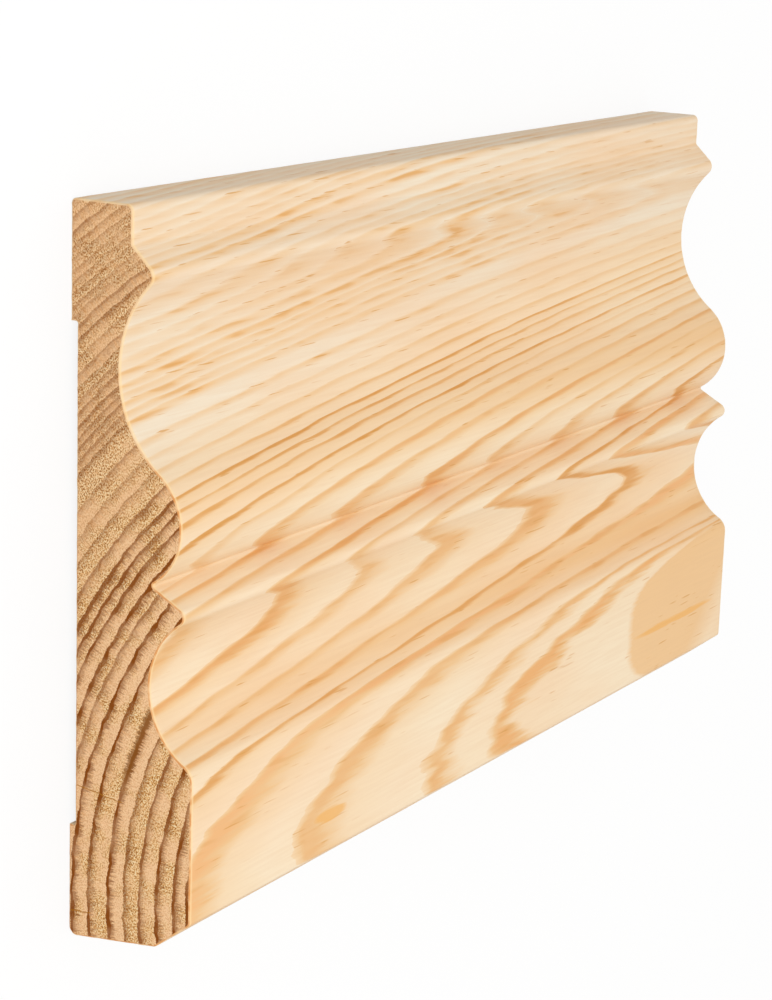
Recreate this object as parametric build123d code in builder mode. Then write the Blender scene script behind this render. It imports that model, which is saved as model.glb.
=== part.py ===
from build123d import *
import os
from math import cos, radians, sin, sqrt, tan

# Door lining board: one length of moulded pine, planed to a single section and sawn square at both ends.
# It lies on its back. X runs along the board, Y across it with the thin edge at +Y, and Z out of the face.
# The origin is in the middle of the back, where the board touches what it lies on.
# Places across the board are measured from its thin edge, so a wider board has a wider thick flat.
# Heights are measured from the back.

# Stock size
board_length = 200.0
board_width = 120.0
board_thickness = 24.0

# Thin edge, with its narrow flat and the slope that rises from it to the outer nose
thin_edge_thickness = 11.6
thin_flat_width = 6.1
outer_slope_angle = 46.5

# Upper hollow, which runs smoothly into the bead
upper_hollow_place = 25.5
upper_hollow_height = 9.4

# Bead
bead_from_upper_hollow = 23.7
bead_height = 21.3
bead_radius = 10.5

# Quirk beside the bead, with the steep side that rises to the inner nose
quirk_height = 15.7
quirk_side_angle = 62.0

# Lower hollow, which ends on the thick flat
lower_hollow_from_quirk = 16.5
lower_hollow_height = 15.65
lower_hollow_radius = 13.3

# Thick edge, which leans in from its back corner, and the chamfer between it and the thick flat
thick_edge_lean_angle = 7.0
chamfer_width = 5.3
chamfer_depth = 6.8

# Shallow groove planed into the back, between the two ribs that bear on the wall
rib_width = 19.0
groove_depth = 1.2

# Roundings that the cutters and the sanding leave on the corners
outer_nose_radius = 1.9
inner_nose_radius = 1.5
hollow_arris_radius = 3.0
thin_arris_radius = 1.2
chamfer_arris_radius = 0.8
thin_back_radius = 0.8
thick_back_radius = 1.5
inside_corner_radius = 0.4


def section_point(place, height):
    """Point of the section at a place from the thin edge, with the middle of the board as its zero."""
    return Vector(board_width / 2 - place, height)


def where_slope_meets_hollow(start, angle, centre, radius):
    """Corner where a slope that rises from start towards the thick edge runs into a round hollow."""
    uphill = Vector(-cos(radians(angle)), sin(radians(angle)))
    offset = start - centre
    halfway = -offset.dot(uphill)
    return start + uphill * (halfway - sqrt(halfway**2 - offset.dot(offset) + radius**2))


# The upper hollow and the bead are arcs that touch, so their radii add up to the distance of their centres
rise = bead_height - upper_hollow_height
both_radii = (bead_from_upper_hollow**2 + rise**2) / (2 * rise)
upper_hollow_radius = both_radii - bead_radius
upper_hollow_floor = section_point(upper_hollow_place, upper_hollow_height)
upper_hollow_centre = upper_hollow_floor + Vector(0, upper_hollow_radius)
bead_place = upper_hollow_place + bead_from_upper_hollow
bead_top = section_point(bead_place, bead_height)
bead_centre = bead_top - Vector(0, bead_radius)
hollow_meets_bead = bead_centre + (upper_hollow_centre - bead_centre) * (bead_radius / both_radii)

# The outer nose is the corner between the outer slope and the upper hollow
thin_flat_end = section_point(thin_flat_width, thin_edge_thickness)
outer_nose = where_slope_meets_hollow(
    thin_flat_end, outer_slope_angle, upper_hollow_centre, upper_hollow_radius
)

# The quirk is where the bead's arc comes down to its height, and its other side rises to the inner nose
quirk_from_bead = sqrt(bead_radius**2 - (quirk_height - bead_centre.Y) ** 2)
quirk_place = bead_place + quirk_from_bead
quirk = section_point(quirk_place, quirk_height)
lower_hollow_place = quirk_place + lower_hollow_from_quirk
lower_hollow_floor = section_point(lower_hollow_place, lower_hollow_height)
lower_hollow_centre = lower_hollow_floor + Vector(0, lower_hollow_radius)
inner_nose = where_slope_meets_hollow(
    quirk, quirk_side_angle, lower_hollow_centre, lower_hollow_radius
)

# The lower hollow breaks through the thick flat
hollow_half_width = sqrt(lower_hollow_radius**2 - (lower_hollow_centre.Y - board_thickness) ** 2)
hollow_arris = section_point(lower_hollow_place + hollow_half_width, board_thickness)

# The thick edge leans, so its sharp back corner stands out by what the rounding there takes off the width
lean = radians(thick_edge_lean_angle)
rounded_off = thick_back_radius * ((1 + sin(lean)) / cos(lean) - 1)
thick_back_place = board_width + rounded_off
chamfer_height = board_thickness - chamfer_depth
chamfer_place = thick_back_place - chamfer_height * tan(lean)

# Corners of the two edges and of the groove in the back
thin_arris = section_point(0, thin_edge_thickness)
thin_back_corner = section_point(0, 0)
thick_back_corner = section_point(thick_back_place, 0)
chamfer_on_edge = section_point(chamfer_place, chamfer_height)
chamfer_on_face = section_point(chamfer_place - chamfer_width, board_thickness)
thin_rib_step = section_point(rib_width, 0)
thin_groove_corner = section_point(rib_width, groove_depth)
thick_groove_corner = section_point(board_width - rib_width, groove_depth)
thick_rib_step = section_point(board_width - rib_width, 0)

roundings = (
    (outer_nose, outer_nose_radius),
    (inner_nose, inner_nose_radius),
    (hollow_arris, hollow_arris_radius),
    (thin_arris, thin_arris_radius),
    (chamfer_on_face, chamfer_arris_radius),
    (chamfer_on_edge, chamfer_arris_radius),
    (thin_back_corner, thin_back_radius),
    (thick_back_corner, thick_back_radius),
    (thin_flat_end, inside_corner_radius),
    (quirk, inside_corner_radius),
    (thin_groove_corner, inside_corner_radius),
    (thick_groove_corner, inside_corner_radius),
)

# The board is its section carried along the whole length
with BuildPart() as lining_board:
    with BuildSketch(Plane.YZ) as section:
        with BuildLine():
            ThreePointArc(outer_nose, upper_hollow_floor, hollow_meets_bead)
            ThreePointArc(hollow_meets_bead, bead_top, quirk)
            Line(quirk, inner_nose)
            ThreePointArc(inner_nose, lower_hollow_floor, hollow_arris)
            Polyline(
                hollow_arris,
                chamfer_on_face,
                chamfer_on_edge,
                thick_back_corner,
                thick_rib_step,
                thick_groove_corner,
                thin_groove_corner,
                thin_rib_step,
                thin_back_corner,
                thin_arris,
                thin_flat_end,
                outer_nose,
            )
        make_face()
        for corner, radius in roundings:
            fillet(section.vertices().sort_by_distance(corner)[0], radius)
    extrude(amount=board_length / 2, both=True)

lining_board.part.label = "lining_board"

os.makedirs("parts", exist_ok=True)
export_step(lining_board.part, "parts/lining_board.step")
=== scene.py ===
from math import atan2, cos, hypot, radians, sin, sqrt, tan
from types import SimpleNamespace

import bpy
import numpy as np
from mathutils import Euler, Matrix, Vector, noise


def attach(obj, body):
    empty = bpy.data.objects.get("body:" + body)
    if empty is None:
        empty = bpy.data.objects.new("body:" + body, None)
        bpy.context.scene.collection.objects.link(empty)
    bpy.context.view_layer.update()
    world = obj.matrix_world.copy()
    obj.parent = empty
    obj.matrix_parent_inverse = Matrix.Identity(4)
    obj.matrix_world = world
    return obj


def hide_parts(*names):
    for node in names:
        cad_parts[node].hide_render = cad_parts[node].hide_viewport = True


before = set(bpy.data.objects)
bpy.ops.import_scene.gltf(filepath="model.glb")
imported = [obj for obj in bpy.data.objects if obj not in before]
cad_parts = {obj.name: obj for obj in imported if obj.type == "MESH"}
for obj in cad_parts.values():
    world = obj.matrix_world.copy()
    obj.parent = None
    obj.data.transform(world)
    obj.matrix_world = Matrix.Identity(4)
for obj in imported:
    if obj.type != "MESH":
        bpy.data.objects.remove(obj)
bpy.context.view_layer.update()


# The moulded board
# One length of pine, planed to its section by one pass of the cutters, then sawn square at both ends.
# Lengths here are millimetres: places across the board from its thin edge, heights from its back.

MM = 0.001
board_length = 200.0
board_width = 120.0
board_thickness = 24.0

thin_edge_thickness = 11.6
thin_flat_width = 6.1
outer_slope = radians(46.5)
upper_hollow_place = 25.5
upper_hollow_height = 9.4
bead_place = 49.2
bead_height = 21.3
bead_radius = 10.5
quirk_height = 15.7
quirk_slope = radians(62.0)
lower_hollow_from_quirk = 16.5
lower_hollow_height = 15.65
lower_hollow_radius = 13.3
thick_edge_lean = radians(7.0)
chamfer_width = 5.3
chamfer_depth = 6.8
rib_width = 19.0
groove_depth = 1.2

# Roundings that the cutters and the sanding leave on the corners
outer_nose_radius = 1.9
inner_nose_radius = 1.5
hollow_arris_radius = 3.0
thin_arris_radius = 1.2
chamfer_arris_radius = 0.8
thin_back_radius = 0.8
thick_back_radius = 1.5
inside_corner_radius = 0.4

# Centres of the round cuts: the upper hollow runs into the bead, the bead ends at the quirk
rise = bead_height - upper_hollow_height
hollow_and_bead = ((bead_place - upper_hollow_place) ** 2 + rise**2) / (2 * rise)
upper_hollow_radius = hollow_and_bead - bead_radius
upper_hollow_centre = np.array((upper_hollow_place, upper_hollow_height + upper_hollow_radius))
bead_centre = np.array((bead_place, bead_height - bead_radius))
hollow_meets_bead = bead_centre + (upper_hollow_centre - bead_centre) * bead_radius / hollow_and_bead
quirk_place = bead_place + sqrt(bead_radius**2 - (quirk_height - bead_centre[1]) ** 2)
quirk = np.array((quirk_place, quirk_height))
lower_hollow_centre = quirk + (lower_hollow_from_quirk, 0)
lower_hollow_centre[1] = lower_hollow_height + lower_hollow_radius


def nose(foot, slope, centre, radius):
    """The sharp corner where a slope that climbs from its foot breaks into a round hollow."""
    uphill = np.array((cos(slope), sin(slope)))
    offset = foot - centre
    halfway = -offset @ uphill
    return foot + uphill * (halfway - sqrt(halfway**2 - offset @ offset + radius**2))


thin_flat_end = np.array((thin_flat_width, thin_edge_thickness))
outer_nose = nose(thin_flat_end, outer_slope, upper_hollow_centre, upper_hollow_radius)
inner_nose = nose(quirk, quirk_slope, lower_hollow_centre, lower_hollow_radius)
hollow_half_width = sqrt(lower_hollow_radius**2 - (lower_hollow_centre[1] - board_thickness) ** 2)
hollow_arris = np.array((lower_hollow_centre[0] + hollow_half_width, board_thickness))

# The thick edge leans, so its sharp back corner stands out by what the rounding takes off
rounded_off = thick_back_radius * ((1 + sin(thick_edge_lean)) / cos(thick_edge_lean) - 1)
thick_back = np.array((board_width + rounded_off, 0.0))
chamfer_height = board_thickness - chamfer_depth
chamfer_on_edge = np.array((thick_back[0] - chamfer_height * tan(thick_edge_lean), chamfer_height))
chamfer_on_face = np.array((chamfer_on_edge[0] - chamfer_width, board_thickness))
thin_back = np.array((0.0, 0.0))
thin_arris = np.array((0.0, thin_edge_thickness))
far_step = board_width - rib_width
trace_step = 0.02


def straight(start, end):
    """Close points along a flat of the section."""
    start, end = np.array(start, float), np.array(end, float)
    count = max(3, int(hypot(*(end - start)) / trace_step))
    return start + (end - start) * np.linspace(0, 1, count)[:, None]


def round_cut(start, end, centre):
    """Close points along an arc of the section, the short way round its centre."""
    first, last = start - centre, end - centre
    turn = atan2(first[0] * last[1] - first[1] * last[0], first @ last)
    count = max(5, int(abs(turn) * hypot(*first) / trace_step))
    angles = atan2(first[1], first[0]) + turn * np.linspace(0, 1, count)
    return centre + hypot(*first) * np.column_stack((np.cos(angles), np.sin(angles)))


def rounding(before, after, radius):
    """The rounding between two sides that meet in a corner, with what is left of both sides."""
    heading, leaving = before[-1] - before[-2], after[1] - after[0]
    inner_side = np.sign(heading[0] * leaving[1] - heading[1] * leaving[0])
    steps = np.gradient(before, axis=0)
    across = inner_side * np.column_stack((-steps[:, 1], steps[:, 0]))
    centres = before + radius * across / np.hypot(*steps.T)[:, None]
    for last in range(len(before) - 2, 0, -1):
        gaps = np.hypot(*(after - centres[last]).T)
        if gaps.min() >= radius:
            break
    first = gaps.argmin()
    arc = round_cut(before[last], after[first], centres[last])
    return before[: last + 1], arc, after[first:]


# The sides in order from the back corner of the thin edge, each with the rounding at its far end
sides = [
    (straight(thin_back, thin_arris), thin_arris_radius),
    (straight(thin_arris, thin_flat_end), inside_corner_radius),
    (straight(thin_flat_end, outer_nose), outer_nose_radius),
    (round_cut(outer_nose, hollow_meets_bead, upper_hollow_centre), 0),
    (round_cut(hollow_meets_bead, quirk, bead_centre), inside_corner_radius),
    (straight(quirk, inner_nose), inner_nose_radius),
    (round_cut(inner_nose, hollow_arris, lower_hollow_centre), hollow_arris_radius),
    (straight(hollow_arris, chamfer_on_face), chamfer_arris_radius),
    (straight(chamfer_on_face, chamfer_on_edge), chamfer_arris_radius),
    (straight(chamfer_on_edge, thick_back), thick_back_radius),
    (straight(thick_back, (far_step, 0)), 0),
    (straight((far_step, 0), (far_step, groove_depth)), inside_corner_radius),
    (straight((far_step, groove_depth), (rib_width, groove_depth)), inside_corner_radius),
    (straight((rib_width, groove_depth), (rib_width, 0)), 0),
    (straight((rib_width, 0), thin_back), thin_back_radius),
]
runs = [points for points, radius in sides]
corners = []
for number, (points, radius) in enumerate(sides):
    following = (number + 1) % len(sides)
    arc = None
    if radius:
        runs[number], arc, runs[following] = rounding(runs[number], runs[following], radius)
    corners.append(arc)


def halves(arc):
    """A rounding cut in its middle."""
    middle = len(arc) // 2
    return arc[: middle + 1], arc[middle:]


def side_of_end(first, last):
    """One of the four sides of the end, from the middle of one corner rounding to the next."""
    pieces = [halves(corners[first - 1])[1]]
    for number in range(first, last + 1):
        pieces.append(runs[number])
        if corners[number] is not None:
            pieces.append(corners[number])
    pieces[-1] = halves(corners[last])[0]
    return pieces


facet_length = 0.72
facet_turn = 0.22
rows_up_end = 30
sharp_from = radians(28)


def facets(points):
    """How many facets a stretch of the section needs, from its length and from how far it turns."""
    steps = np.diff(points, axis=0)
    turns = np.unwrap(np.arctan2(steps[:, 1], steps[:, 0]))
    return max(1, round(np.hypot(*steps.T).sum() / facet_length + np.ptp(turns) / facet_turn))


def faceted(pieces, total=None):
    """The stretches as one row of points. The longest stretch takes up what a given total leaves."""
    counts = [facets(points) for points in pieces]
    if total:
        longest = max(range(len(pieces)), key=lambda n: len(pieces[n]))
        counts[longest] += total - sum(counts)
    rows = []
    for points, count in zip(pieces, counts):
        spots = np.linspace(0, len(points) - 1, count + 1)
        index = np.arange(len(points))
        rows.append(np.column_stack([np.interp(spots, index, points[:, n]) for n in (0, 1)])[:-1])
    rows.append(pieces[-1][-1:])
    return np.vstack(rows)


thin_side = faceted(side_of_end(0, 0), rows_up_end)
face_side = faceted(side_of_end(1, 8))
thick_side = faceted(side_of_end(9, 9), rows_up_end)
columns_across = len(face_side) - 1
back_side = faceted(side_of_end(10, 14), columns_across)
section = np.vstack((thin_side[:-1], face_side[:-1], thick_side[:-1], back_side[:-1]))
round_steps = np.roll(section, -1, 0) - np.roll(section, 1, 0)
outward = np.column_stack((-round_steps[:, 1], round_steps[:, 0]))
outward /= np.hypot(*outward.T)[:, None]

# Growth of the tree: its pith runs above the face, and every year ring is a slightly oval tube round it
pith_from_thick_edge = 15.1
pith_above_back = 90.7
pith_drop = 0.0703
pith_bow = 1.566
pith_drift = 0.0085
pith_sway = 0.235
oval_across = 1.175
oval_skew = 0.214
trunk_taper = 0.0874

# The grain swings outwards as it runs from the near end, least under the bead and less again past the quirk
swing = 5.36
swing_lost_under_bead = 6.39
under_bead = 67.4
bead_reach = 32.5
swing_gained_past_quirk = 1.49
past_quirk = 51.7
quirk_reach = 2.4
swing_growth = 0.19

# It dips again at the outer nose, past the near end, and so curls the rings there into hooks
nose_dip = 5.5
nose_dip_place = 107.3
nose_dip_reach = 2.6
nose_dip_start = 0.3

# Where each year ring ends, from the pith, and how dark its late wood is
year_rings = (
    (56.3, 0.0), (58.9, 1.0), (60.3, 0.7), (63.6, 0.65), (67.3, 1.0), (69.8, 0.75), (73.1, 0.75),
    (76.4, 0.5), (79.4, 0.4), (82.6, 1.0), (86.6, 0.6), (89.9, 0.75), (92.5, 0.35), (94.6, 0.9),
    (97.4, 0.7), (99.4, 0.7), (101.5, 0.95), (104.2, 0.45), (107.2, 0.35), (109.9, 0.25),
    (112.8, 0.4), (116.7, 0.5), (118.2, 0.45), (119.7, 0.55), (120.9, 0.45), (122.3, 0.6),
    (124.0, 0.5), (125.5, 0.4), (127.0, 0.3), (128.7, 0.45), (130.8, 0.25), (133.2, 0.6),
    (135.0, 0.55), (136.6, 0.3), (137.9, 0.35), (139.4, 0.3), (141.0, 0.3), (142.5, 0.25),
    (144.1, 0.3), (145.7, 0.35), (147.6, 0.6), (149.5, 0.4), (151.6, 0.4), (154.1, 0.4),
)
heartwood_edge = 58.2


def across_and_above(x, y, z):
    """A spot's distances from the pith, across the board and out of its face, in the tree's own slice."""
    along = x + board_length / 2
    hundreds = along / 100
    sway = along * pith_drift - hundreds * hundreds * pith_sway
    across = y + board_width / 2 - pith_from_thick_edge + sway
    above = z - pith_above_back + along * pith_drop - hundreds * hundreds * pith_bow
    return along, across, above


def grain_swing(along, from_thick_edge):
    """How much further out a spot grew than in a straight trunk."""
    hundreds = along / 100
    off_bead = (from_thick_edge - under_bead) / bead_reach
    off_quirk = (from_thick_edge - past_quirk) / quirk_reach
    step = off_quirk * (off_quirk * off_quirk + 1) ** -0.5 * -0.5 + 0.5
    lost = (off_bead * off_bead + 1) ** -1 * swing_lost_under_bead
    off_nose = (from_thick_edge - nose_dip_place) / nose_dip_reach
    dip = off_nose * (off_nose * off_nose + 1) ** -0.5 * 0.5 + 0.5
    dip = dip * hundreds * hundreds / (hundreds * hundreds + nose_dip_start) * nose_dip
    swung = step * swing_gained_past_quirk - lost + swing
    return hundreds * (hundreds * swing_growth + 1) * swung - dip


def distance_from_pith(x, y, z):
    """How far out a spot grew. It takes numbers, arrays or a material's wires."""
    along, across, above = across_and_above(x, y, z)
    squares = across * across * oval_across + above * above - across * above * oval_skew
    return squares**0.5 - along * trunk_taper + grain_swing(along, y + board_width / 2)


def wander(spots, stretch, depth):
    """Smooth random depths between 0 and that depth, in patches of the stretched size."""
    patches = spots / np.array(stretch)
    return np.array([noise.noise(Vector(spot)) for spot in patches]) * depth / 2 + depth / 2


late_share = 0.3


def early_wood(spots):
    """1 in the soft wood that a ring starts with, down to 0 at the end of its hard late wood."""
    ends = [end for end, darkness in year_rings]
    grown = np.interp(distance_from_pith(*spots.T), ends, np.arange(len(ends)))
    return np.clip((1 - grown % 1) / late_share, 0, 1)


planing_depth = 0.02
planing_patch = (9, 2.5, 2.5)
sawing_depth = 0.1
torn_patch = (3, 0.8, 0.8)
uneven_patch = (3, 6, 6)
arris_wear = 0.28
arris_turns = (0, 30, 60, 90)
stations = 112


def at_spots(places, x):
    """Places of the section as spots on the board."""
    return np.column_stack((np.full(len(places), x), board_width / 2 - places[:, 0], places[:, 1]))


def planed_ring(x, inset):
    """One turn of the planed surface, with its soft wood a hair lower than the hard."""
    spots = at_spots(section, x)
    worn = planing_depth * early_wood(spots) + wander(spots, planing_patch, planing_depth)
    return section - outward * (worn + inset)[:, None]


def sawn_depth(places, x):
    """How deep the saw tore into the end: more in the soft wood of the rings."""
    spots = at_spots(places, x)
    torn = wander(spots, torn_patch, sawing_depth) + wander(spots, uneven_patch, sawing_depth / 2)
    return torn + sawing_depth / 2 * early_wood(spots)


half = board_length / 2
ends = []
for direction in (-1, 1):
    rim = []
    for turn in np.radians(arris_turns):
        ring = planed_ring(direction * half, arris_wear * (1 - sin(turn)))
        depth = sawn_depth(section, direction * half) + arris_wear * (1 - cos(turn))
        rim.append(np.column_stack((direction * (half - depth), ring)))
    ends.append(rim)
between_ends = []
for x in np.linspace(-half, half, stations + 1)[1:-1]:
    between_ends.append(np.column_stack((np.full(len(section), x), planed_ring(x, 0))))
turns = ends[0] + between_ends + ends[1][::-1]
around = len(section)
body_points = np.vstack(turns)
faces = []
for turn in range(len(turns) - 1):
    for spot in range(around):
        after = (spot + 1) % around
        low, high = turn * around, (turn + 1) * around
        faces.append((low + spot, high + spot, high + after, low + after))


rows, columns = rows_up_end, columns_across


def end_grid(rim):
    """Places of the end's inner grid, drawn from its four sides."""
    thin, face = rim[: rows + 1], rim[rows : rows + columns + 1]
    thick = rim[rows + columns : 2 * rows + columns + 1][::-1]
    back = np.vstack((rim[2 * rows + columns :], rim[:1]))[::-1]
    up = np.linspace(0, 1, rows + 1)[1:-1, None, None]
    over = np.linspace(0, 1, columns + 1)[None, 1:-1, None]
    flat = (1 - up) * back[None, 1:-1] + up * face[None, 1:-1]
    tall = (1 - over) * thin[1:-1, None] + over * thick[1:-1, None]
    low_row = (1 - over) * back[0] + over * back[-1]
    high_row = (1 - over) * face[0] + over * face[-1]
    return flat + tall - (1 - up) * low_row - up * high_row


planed_face_count = len(faces)
all_points = [body_points]
for direction, first in ((-1, 0), (1, (len(turns) - 1) * around)):
    rim = body_points[first : first + around, 1:]
    inner = end_grid(rim)
    places = inner.reshape(-1, 2)
    depth = sawn_depth(places, direction * half)
    start = sum(len(points) for points in all_points)
    all_points.append(np.column_stack((direction * (half - depth), places)))
    grid = np.zeros((rows + 1, columns + 1), int)
    grid[1:-1, 1:-1] = start + np.arange(len(places)).reshape(rows - 1, columns - 1)
    grid[:, 0] = first + np.arange(rows + 1)
    grid[rows, :] = first + rows + np.arange(columns + 1)
    grid[:, columns] = first + rows + columns + np.arange(rows + 1)[::-1]
    grid[0, :] = first + (2 * rows + columns + np.arange(columns + 1)[::-1]) % around
    for row in range(rows):
        for column in range(columns):
            low_pair = (grid[row, column], grid[row, column + 1])
            high_pair = (grid[row + 1, column + 1], grid[row + 1, column])
            quad = low_pair + high_pair
            faces.append(quad if direction < 0 else quad[::-1])

points = np.vstack(all_points)
points[:, 1] = board_width / 2 - points[:, 1]
mesh = bpy.data.meshes.new("planed_board")
mesh.from_pydata((points * MM).tolist(), [], [tuple(int(n) for n in face) for face in faces])
mesh.update()
planed_board = bpy.data.objects.new("planed_board", mesh)
bpy.context.scene.collection.objects.link(planed_board)
mesh.polygons.foreach_set("use_smooth", [True] * len(mesh.polygons))
mesh.set_sharp_from_angle(angle=sharp_from)


class Wire:
    """A number on its way through a material. A sum written with it becomes Math nodes."""

    def __init__(self, tree, socket):
        self.tree, self.socket = tree, socket

    def math(self, operation, *others):
        node = self.tree.nodes.new("ShaderNodeMath")
        node.operation = operation
        for place, value in zip(node.inputs, (self, *others)):
            if isinstance(value, Wire):
                self.tree.links.new(value.socket, place)
            else:
                place.default_value = value
        return Wire(self.tree, node.outputs[0])

    def __add__(self, other):
        return self.math("ADD", other)

    def __sub__(self, other):
        return self.math("SUBTRACT", other)

    def __mul__(self, other):
        return self.math("MULTIPLY", other)

    def __truediv__(self, other):
        return self.math("DIVIDE", other)

    def __pow__(self, other):
        return self.math("POWER", other)

    def rest(self):
        """What is left of 1."""
        return (self * -1) + 1

    def between(self, low, high, bottom=0.0, top=1.0):
        """Carried evenly from the range low..high to bottom..top, and held there."""
        node = self.tree.nodes.new("ShaderNodeMapRange")
        self.tree.links.new(self.socket, node.inputs[0])
        for place, value in zip(list(node.inputs)[1:5], (low, high, bottom, top)):
            if isinstance(value, Wire):
                self.tree.links.new(value.socket, place)
            else:
                place.default_value = value
        return Wire(self.tree, node.outputs[0])

    def read_off(self, marks):
        """The height over this number of a line through the marks, all from 0 to 1."""
        node = self.tree.nodes.new("ShaderNodeFloatCurve")
        line = node.mapping.curves[0]
        while len(line.points) < len(marks):
            line.points.new(0.5, 0.5)
        for point, mark in zip(line.points, marks):
            point.location = mark
            point.handle_type = "VECTOR"
        node.mapping.update()
        self.tree.links.new(self.socket, node.inputs["Value"])
        return Wire(self.tree, node.outputs[0])


def spot_in(tree, x, y, z):
    """Three wires as one place."""
    node = tree.nodes.new("ShaderNodeCombineXYZ")
    for place, value in zip(node.inputs, (x, y, z)):
        if isinstance(value, Wire):
            tree.links.new(value.socket, place)
        else:
            place.default_value = value
    return node.outputs[0]


def cloud(tree, spot, detail=2.0, roughness=0.5):
    """Soft random patches, one unit across, as a number round 0.5."""
    node = tree.nodes.new("ShaderNodeTexNoise")
    node.inputs["Scale"].default_value = 1.0
    node.inputs["Detail"].default_value = detail
    node.inputs["Roughness"].default_value = roughness
    tree.links.new(spot, node.inputs["Vector"])
    return Wire(tree, node.outputs["Fac"])


def paint(red, green, blue):
    """A colour read from a colour card, as the light it gives back."""
    shares = [value / 255 for value in (red, green, blue)]
    return [v / 12.92 if v <= 0.04045 else ((v + 0.055) / 1.055) ** 2.4 for v in shares] + [1.0]


def tinted(tree, share, ground, tint):
    """The ground colour with that share of a tint over it."""
    node = tree.nodes.new("ShaderNodeMix")
    node.data_type = "RGBA"
    for place, value in ((0, share), (6, ground), (7, tint)):
        if isinstance(value, Wire):
            tree.links.new(value.socket, node.inputs[place])
        elif isinstance(value, bpy.types.NodeSocket):
            tree.links.new(value, node.inputs[place])
        else:
            node.inputs[place].default_value = value
    return node.outputs[2]


innermost = 50.0
outermost = 160.0
widest_ring = 10.0


def streaks(tree, place, length, width, detail=1.0):
    """Soft random patches, so many millimetres long with the grain and wide across it."""
    x, y, z = place
    return cloud(tree, spot_in(tree, x / length, y / width, z / width), detail)


def wood_figure(tree):
    """The spot on the board and how far out it grew, which every cut through this tree shares."""
    split = tree.nodes.new("ShaderNodeSeparateXYZ")
    tree.links.new(tree.nodes.new("ShaderNodeTexCoord").outputs["Object"], split.inputs[0])
    place = [Wire(tree, socket) / MM for socket in split.outputs]
    swell = streaks(tree, place, 70, 14) - 0.5
    ripple = streaks(tree, place, 16, 3) - 0.5
    return place, distance_from_pith(*place) + swell * 0.7 + ripple * 0.8


def ring_wires(out):
    """The ring that a spot grew in: millimetres left to its end, width, darkness of late wood, year."""
    count = len(year_rings) + 1
    span = outermost - innermost
    ring_ends = [innermost] + [end for end, darkness in year_rings] + [outermost]
    marks = [((end - innermost) / span, n / count) for n, end in enumerate(ring_ends)]
    years = out.between(innermost, outermost).read_off(marks) * count
    year = years.math("FLOOR")
    spot = (year + 0.5) / count
    shades = []
    widths = []
    for n, (end, darkness) in enumerate(year_rings):
        middle_of_year = (n + 0.5) / count
        shades.append((middle_of_year, darkness))
        widths.append((middle_of_year, (end - ring_ends[n]) / widest_ring))
    width = spot.read_off(widths) * widest_ring
    left = years.math("FRACT").rest() * width
    return SimpleNamespace(left=left, width=width, darkness=spot.read_off(shades), year=year)


def finish_wood(tree, colour, relief, roughness, gloss, strength, depth):
    """The wood's colour and gloss, and a fine relief over it."""
    surface = tree.nodes["Principled BSDF"]
    tree.links.new(colour, surface.inputs["Base Color"])
    surface.inputs["Roughness"].default_value = roughness
    surface.inputs["Specular IOR Level"].default_value = gloss
    bump = tree.nodes.new("ShaderNodeBump")
    bump.inputs["Strength"].default_value = strength
    bump.inputs["Distance"].default_value = depth * MM
    tree.links.new(relief.socket, bump.inputs["Height"])
    tree.links.new(bump.outputs["Normal"], surface.inputs["Normal"])


# Planed face: cream early wood that deepens into golden late wood, broken into dashes further out
cream = paint(247, 227, 196)
outer_cream = paint(242, 229, 207)
rosy_cream = paint(247, 211, 173)
band_gold = paint(236, 184, 118)
ripening_gold = paint(240, 198, 142)
heartwood_tan = paint(238, 192, 134)
fringe_gold = paint(238, 196, 142)
late_orange = paint(233, 168, 94)
soft_late_orange = paint(239, 183, 124)
narrow_late_brown = paint(208, 142, 58)
tuft_gold = paint(218, 154, 66)
fibre_tan = paint(226, 184, 136)
dash_brown = paint(214, 152, 66)
resin_amber = paint(240, 176, 84)
end_glow = paint(252, 220, 166)
burr_brown = paint(218, 136, 58)

planed = bpy.data.materials.new("planed_pine")
planed.use_nodes = True
tree = planed.node_tree
place, out = wood_figure(tree)
x, y, z = place
fibre = streaks(tree, place, 14, 0.6, 3.0) - 0.5
tuft = streaks(tree, place, 13, 1.5)
stretch = streaks(tree, place, 26, 4, 2.0)
ring = ring_wires(out + fibre * 0.12)

# Late wood is soft where the ring is broad, near the heart and far out, and far out it is broken too
outer_wood = out.between(104, 114)
young = out.between(61.5, 59.5)
soft = ring.width.between(2.4, 3.6).math("MAXIMUM", outer_wood).math("MAXIMUM", young)
thickness = fibre * (outer_wood * -0.3 + 0.6) + stretch * 0.5 + soft * 0.25 + young * -0.25 + 0.3
late = ring.left.between(thickness + soft * 0.55 + young * -0.5 + 0.35, thickness - 0.15)
late = late * ring.left.between(0.0, soft * 0.2 + 0.15)
broken = tuft.between(0.40, 0.60, outer_wood * -0.4 + 1.0, outer_wood * -0.2 + 1.1)
late = late * ring.darkness * stretch.between(0.3, 0.7, 0.7, 1.2) * broken

# Its lines fade on the far half of the board between the bead and the thin edge
full = (x.between(0, 60, 0.0, 0.4) * y.between(16, 26)).rest()
late = late * full

# Early wood, rosier in broad patches
blush = streaks(tree, place, 45, 18)
colour = tinted(tree, outer_wood, cream, outer_cream)
colour = tinted(tree, blush.between(0.42, 0.70, 0.0, 0.5), colour, rosy_cream)

# Golden bands on the upper hollow, the bead's shoulder and the lower hollow, stronger at the far end
to_far_end = x.between(-half, half, 0.3, 1.0)
for band_middle, reach, share in ((34, 6, 0.25), (15, 6, 0.7), (-23, 4, 0.8)):
    off_band = (y - band_middle) / reach
    band = (off_band * off_band + 1) ** -2 * share
    colour = tinted(tree, band * to_far_end, colour, band_gold)

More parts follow.
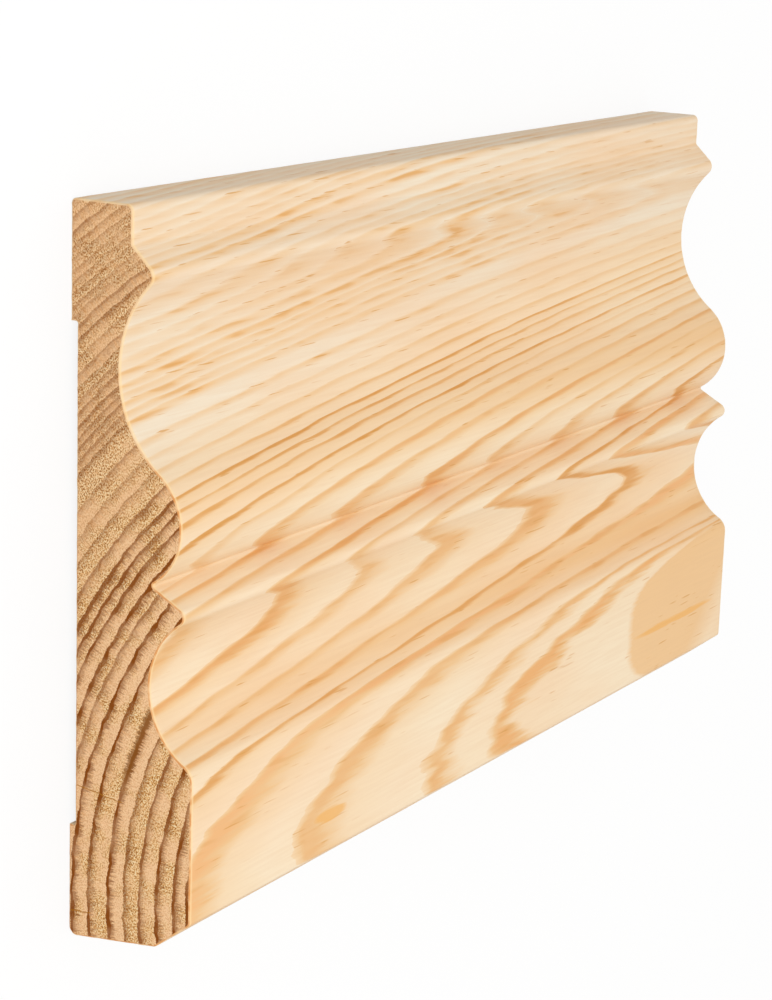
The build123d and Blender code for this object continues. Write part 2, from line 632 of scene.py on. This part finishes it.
# The wood ripens to gold ahead of each line of late wood
ripening = ring.left.between(thickness + 2.1, thickness) * ring.darkness
ripening = ripening * (outer_wood + young).between(0.0, 1.0, 1.0, 0.35)
colour = tinted(tree, ripening * 0.65, colour, ripening_gold)

# A patch of heartwood with a round near side ends the thick flat, and pales in the far corner
patch_start = 53.5
patch_middle = -42.5
patch_half_width = 13.0
patch_bulge = 18.0
off_middle = ((y - patch_middle) / patch_half_width).math("ABSOLUTE")
heartwood = x - off_middle**4 * patch_bulge + fibre * 4
heartwood = heartwood.between(patch_start, patch_start + 2.5)
heartwood = heartwood * out.between(heartwood_edge + 0.2, heartwood_edge - 0.3)
heartwood = heartwood * (x - y).between(145, 134, 0.3, 1.0)
colour = tinted(tree, heartwood * 0.85, colour, heartwood_tan)

# Late wood has a pale fringe and a hard orange middle, browner in narrow rings and in tufts
hard = late.between(0.4, 1.0)
colour = tinted(tree, late.between(0.0, 0.5), colour, fringe_gold)
orange = tinted(tree, soft * (young * -0.5 + 1), late_orange, soft_late_orange)
colour = tinted(tree, hard, colour, orange)
colour = tinted(tree, hard * soft.rest() * 0.65, colour, narrow_late_brown)
accent = tuft.between(0.56, 0.66) * late.between(0.2, 0.7) * (outer_wood * 0.5 + 0.3)
colour = tinted(tree, accent, colour, tuft_gold)

# Fine fibres run everywhere, and short resin dashes in the later part of each ring
colour = tinted(tree, fibre.between(-0.14, 0.10, 0.16, 0.0), colour, fibre_tan)
dash = streaks(tree, place, 8, 0.45) + outer_wood * 0.02
dash = dash.between(0.69, 0.75) * ring.left.between(ring.width * 0.75, ring.width * 0.3)
colour = tinted(tree, dash * full * 0.7, colour, dash_brown)

# A resin fleck near the front and a streak in the heartwood, each by its middle, reach and half width
on_thick_flat = z.between(20, 21)
for mark_x, mark_y, reach, half_width in ((-59.0, -46.4, 5.5, 1.3), (76.0, -43.5, 20.0, 0.8)):
    off_middle = (x - mark_x) / reach
    off_line = (y + fibre * 1.5 - mark_y) / half_width
    mark = (off_middle * off_middle + off_line * off_line).between(1.0, 0.5)
    colour = tinted(tree, mark * on_thick_flat * 0.7, colour, resin_amber)

# Close to a sawn end light glows through the fibres, and a brown burr hangs on the arris
to_end = (x.math("ABSOLUTE") - half) * -1
colour = tinted(tree, to_end.between(0.8, 0.4, 0.0, 0.6), colour, end_glow)
burr = to_end.between(0.32, 0.2, 0.0, 0.8) * tuft.between(0.35, 0.6, 0.4, 1.0)
colour = tinted(tree, burr * (outer_wood * -0.7 + 1), colour, burr_brown)
relief = fibre * 0.6 + late * 0.8
finish_wood(tree, colour, relief, roughness=0.55, gloss=0.3, strength=0.25, depth=0.05)

# Sawn end: brown late wood combed towards the pith, and early wood torn into a fine pale speckle
smooth_tan = paint(254, 206, 157)
torn_tan = paint(242, 187, 116)
outer_tan = paint(243, 195, 145)
hatch_brown = paint(212, 146, 80)
chip_cream = paint(255, 232, 188)
# Painted shade for the gaps between the torn chips
gap_shade_brown = paint(158, 100, 44)
sawn_late_brown = paint(138, 72, 8)
pocket_brown = paint(140, 84, 26)
crack_brown = paint(176, 112, 24)
middle_ring_radius = 90.0

sawn = bpy.data.materials.new("sawn_pine_end")
sawn.use_nodes = True
tree = sawn.node_tree
place, out = wood_figure(tree)
x, y, z = place
across, above = across_and_above(x, y, z)[1:]
round_pith = across.math("ARCTAN2", above * -1) * middle_ring_radius
outer_wood = out.between(95, 115)
ray = cloud(tree, spot_in(tree, round_pith / 0.3, out / 3, x / 20), 2.0) - 0.5
chip = streaks(tree, place, 2, 1.1, 3.0) - 0.5
lump = streaks(tree, place, 20, 4.5, 3.0)
ring = ring_wires(out + ray * 0.3 + chip * (outer_wood * -0.3 + 0.5))

# Late wood is a dark core that ends sharply with the year, with comb teeth on its side to the pith
core_width = lump.between(0.35, 0.65, 0.25, 0.75) + ring.darkness * 0.25
year_end = ring.left.between(0.0, 0.08)
core = ring.left.between(core_width + 0.15, core_width - 0.1) * year_end
teeth = core_width + ray * 4.0 + 0.35
comb = ring.left.between(teeth + 0.5, teeth - 0.2) * year_end

# Early wood is cut smooth in some years and torn in others, into pale chips with painted shade in the gaps
# between them
grain = cloud(tree, spot_in(tree, x, y / 0.3, z / 0.24), 1.0, 0.6)
torn = lump * 1.3 + cloud(tree, spot_in(tree, ring.year * 3.3, 0.0, 0.0), 0.0)
torn = torn.between(1.0, 1.3)
colour = tinted(tree, torn, smooth_tan, torn_tan)
colour = tinted(tree, outer_wood * 0.6, colour, outer_tan)
hatch = ray.between(-0.12, 0.06, 0.6, 0.0) * ring.left.between(3.5, 0.3)
colour = tinted(tree, hatch, colour, hatch_brown)
rough = torn.between(0.0, 1.0, 0.3, 0.95)
bright = grain.between(0.50, 0.62) * rough * (outer_wood * -0.15 + 1)
colour = tinted(tree, bright, colour, chip_cream)
# Painted shade: the low spots between the torn chips are darkened to brown
colour = tinted(tree, grain.between(0.50, 0.36) * rough, colour, gap_shade_brown)

# The late wood goes over it, worn paler in patches and further out
line = core * ring.darkness.between(0.2, 0.6, 0.4, 1.0)
line = line.math("MAXIMUM", comb * ring.darkness.between(0.2, 0.8, 0.3, 0.75))
wear = streaks(tree, place, 20, 6, 2.0).between(0.35, 0.55, 0.7, 1.0)
colour = tinted(tree, line * wear * (outer_wood * -0.35 + 1), colour, sawn_late_brown)

# A ragged resin pocket lies in one ring: from and to, from the pith and then along the ring
pocket_from, pocket_to = 81.5, 83.3
pocket_tip, pocket_foot = 13, 33
ragged = out + ray * 2.5
pocket = ragged.between(pocket_from, pocket_from + 0.4) * ragged.between(pocket_to, pocket_to - 0.4)
pocket = pocket * round_pith.between(pocket_tip, pocket_tip + 4)
pocket = pocket * round_pith.between(pocket_foot, pocket_foot - 4)
colour = tinted(tree, pocket * 0.8, colour, pocket_brown)

# Two hairline cracks run towards the pith, each by its place along the rings and its inner end
for crack_place, inner_end in ((10.9, 81.5), (-10.8, 85.5)):
    off_crack = (round_pith + chip * 0.6 - crack_place).math("ABSOLUTE")
    crack = off_crack.between(0.16, 0.06) * out.between(inner_end, inner_end + 0.5)
    colour = tinted(tree, crack * 0.8, colour, crack_brown)
relief = grain * (torn + 0.2) + ray * 0.4
finish_wood(tree, colour, relief, roughness=0.8, gloss=0.2, strength=0.5, depth=0.1)

mesh.materials.append(planed)
mesh.materials.append(sawn)
finish_of_face = [0] * planed_face_count + [1] * (len(faces) - planed_face_count)
mesh.polygons.foreach_set("material_index", finish_of_face)
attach(planed_board, "root")
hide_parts("lining_board")


# Studio floor and background
# A wide pale sweep that the board lies on. It looks white to the camera and keeps a soft shadow.

floor_mesh = bpy.data.meshes.new("studio_floor")
floor_reach = 3.0
floor_glow = 0.85
floor_corners = [(floor_reach * x, floor_reach * y, 0) for x, y in ((-1, -1), (1, -1), (1, 1), (-1, 1))]
floor_mesh.from_pydata(floor_corners, [], [(0, 1, 2, 3)])
studio_floor = bpy.data.objects.new("studio_floor", floor_mesh)
bpy.context.scene.collection.objects.link(studio_floor)
floor_paint = bpy.data.materials.new("white_floor_paint")
floor_paint.use_nodes = True
tree = floor_paint.node_tree
tree.nodes.clear()
rays = tree.nodes.new("ShaderNodeLightPath")
seen = Wire(tree, rays.outputs["Is Camera Ray"])
seen = seen.math("MAXIMUM", Wire(tree, rays.outputs["Is Glossy Ray"]))
seen = seen.math("MAXIMUM", Wire(tree, rays.outputs["Is Transmission Ray"]))
matt = tree.nodes.new("ShaderNodeBsdfDiffuse")
grey_for_the_board = paint(172, 172, 172)
white_for_the_eye = paint(252, 252, 252)
tree.links.new(tinted(tree, seen, grey_for_the_board, white_for_the_eye), matt.inputs["Color"])
white = tree.nodes.new("ShaderNodeEmission")
floor_mix = tree.nodes.new("ShaderNodeMixShader")
output = tree.nodes.new("ShaderNodeOutputMaterial")
tree.links.new((seen * floor_glow).socket, floor_mix.inputs[0])
tree.links.new(matt.outputs[0], floor_mix.inputs[1])
tree.links.new(white.outputs[0], floor_mix.inputs[2])
tree.links.new(floor_mix.outputs[0], output.inputs["Surface"])
floor_mesh.materials.append(floor_paint)


# Studio light
# A white room all round, and one large soft lamp over the face that leans to the sawn end.

room_tone = (1.0, 0.99, 0.97, 1.0)
room_strength = 0.85
lamp_place = (-0.72, 0.09, 0.58)
lamp_width = 0.5
lamp_power = 2.55

room = bpy.data.worlds.new("white_room")
bpy.context.scene.world = room
room.use_nodes = True
tree = room.node_tree
tree.nodes.clear()
room_light = tree.nodes.new("ShaderNodeBackground")
room_light.inputs["Color"].default_value = room_tone
room_light.inputs["Strength"].default_value = room_strength
room_seen = tree.nodes.new("ShaderNodeBackground")
seen = tree.nodes.new("ShaderNodeLightPath")
room_mix = tree.nodes.new("ShaderNodeMixShader")
output = tree.nodes.new("ShaderNodeOutputWorld")
tree.links.new(seen.outputs["Is Camera Ray"], room_mix.inputs[0])
tree.links.new(room_light.outputs[0], room_mix.inputs[1])
tree.links.new(room_seen.outputs[0], room_mix.inputs[2])
tree.links.new(room_mix.outputs[0], output.inputs["Surface"])

light = bpy.data.lights.new("main_lamp", "AREA")
light.shape = "DISK"
light.size = lamp_width
light.energy = lamp_power
lamp = bpy.data.objects.new("main_lamp", light)
lamp.location = lamp_place
lamp.rotation_euler = (-Vector(lamp_place)).to_track_quat("-Z", "Y").to_euler()
bpy.context.scene.collection.objects.link(lamp)


# Camera
# It looks along the board from above its near end, turned so that the thin edge is up.

film_width = 36.0
focal_length = 95.30
camera_place = (-0.417865, 0.113108, 0.248642)
camera_turn = (-16.862, -58.484, 3.520)

camera_data = bpy.data.cameras.new("camera")
camera_data.sensor_width = film_width
camera_data.lens = focal_length
camera = bpy.data.objects.new("camera", camera_data)
camera.location = camera_place
camera.rotation_euler = Euler([radians(angle) for angle in camera_turn], "XYZ")
bpy.context.scene.collection.objects.link(camera)
bpy.context.scene.camera = camera
bpy.context.scene.view_settings.view_transform = "Standard"
